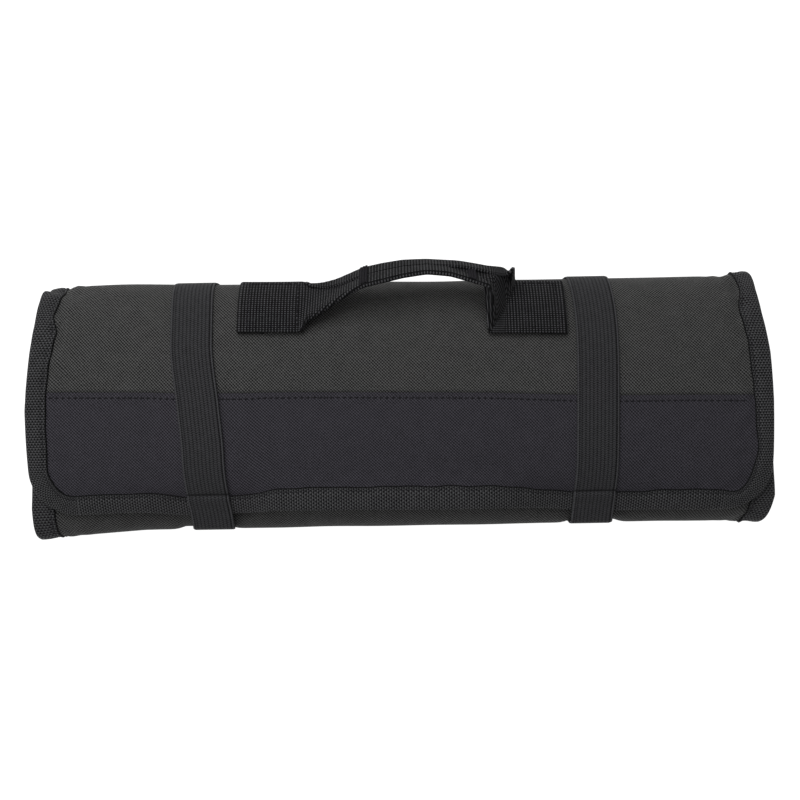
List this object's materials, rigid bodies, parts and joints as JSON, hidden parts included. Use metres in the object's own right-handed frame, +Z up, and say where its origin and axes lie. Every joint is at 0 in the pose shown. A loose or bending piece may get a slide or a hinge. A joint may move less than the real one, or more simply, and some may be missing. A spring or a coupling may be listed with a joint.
{
  "type": "knife roll",
  "caption": "Rolled-up padded fabric case for chef knives, closed by two elastic straps, with a webbing carrying handle and taped edges.",
  "frame": {"origin": "under the middle of the roll, on the surface it lies on", "axes": "+X along the roll, to the right with the handle at the top of the view; +Y from the hem of the flap to the carrying handle; +Z up, out of the broad front"},
  "size_m": [0.5008, 0.1864, 0.0947],
  "materials": {
    "shell_cloth": "coarse woven nylon, charcoal black",
    "panel_cloth": "coarse woven nylon, bluish black",
    "edge_tape": "ribbed binding tape",
    "elastic": "knitted elastic with lengthwise ribs",
    "webbing": "heavy ribbed webbing"
  },
  "bodies": {
    "root": {"flap_panel": "panel_cloth", "roll_shell": "shell_cloth", "edge_binding": "edge_tape", "strap_left": "elastic", "strap_right": "elastic", "handle": "webbing"}
  },
  "joints": []
}
